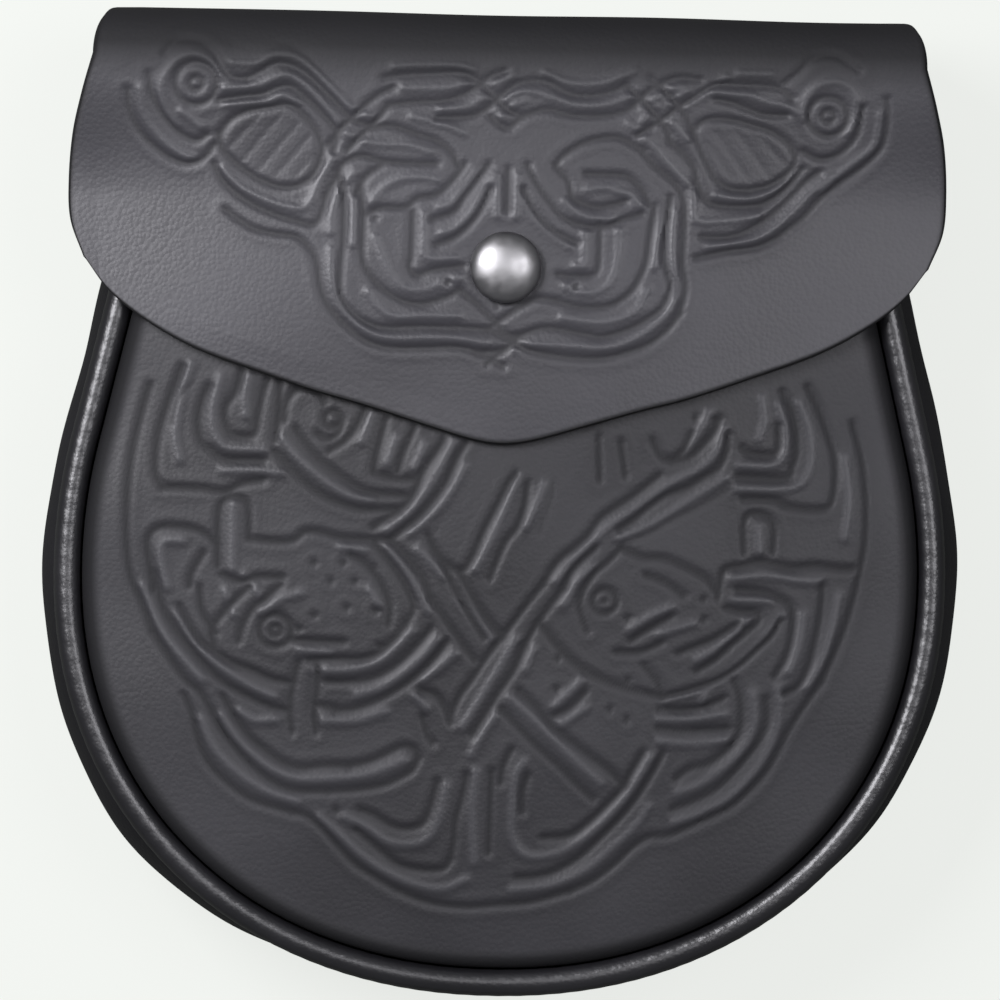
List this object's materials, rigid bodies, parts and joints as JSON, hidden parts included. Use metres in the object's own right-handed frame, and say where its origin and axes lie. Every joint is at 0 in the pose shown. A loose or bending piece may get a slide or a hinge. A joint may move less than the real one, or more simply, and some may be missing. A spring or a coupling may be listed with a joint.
{
  "type": "sporran pouch",
  "caption": "Pear-shaped leather sporran pouch with piped seams, a gusset, a fold-over flap held by a domed snap, and belt loops on its back.",
  "frame": {"origin": "middle of the object's box, on the surface that it lies on", "axes": "+Z out of the front, +Y up the pouch towards the flap's fold, +X to the right of a viewer who faces the front"},
  "size_m": [0.1898, 0.2046, 0.05],
  "materials": {
    "back_leather": "smooth black leather, little sheen",
    "front_leather": "black leather embossed with interlaced bands, satin",
    "gusset_leather": "smooth black leather, satin",
    "piping_leather": "smooth black leather over cord, satin",
    "flap_leather": "black leather embossed with interlaced bands, satin",
    "snap_metal": "polished nickel",
    "loop_leather": "smooth black leather strip, stitched at its ends"
  },
  "bodies": {
    "root": {"back_panel": "back_leather", "front_panel": "front_leather", "gusset": "gusset_leather", "front_piping": "piping_leather", "rear_piping": "piping_leather", "flap": "flap_leather", "stud_cap": "snap_metal", "snap_post": "snap_metal", "belt_loop_left": "loop_leather", "belt_loop_right": "loop_leather"}
  },
  "joints": []
}
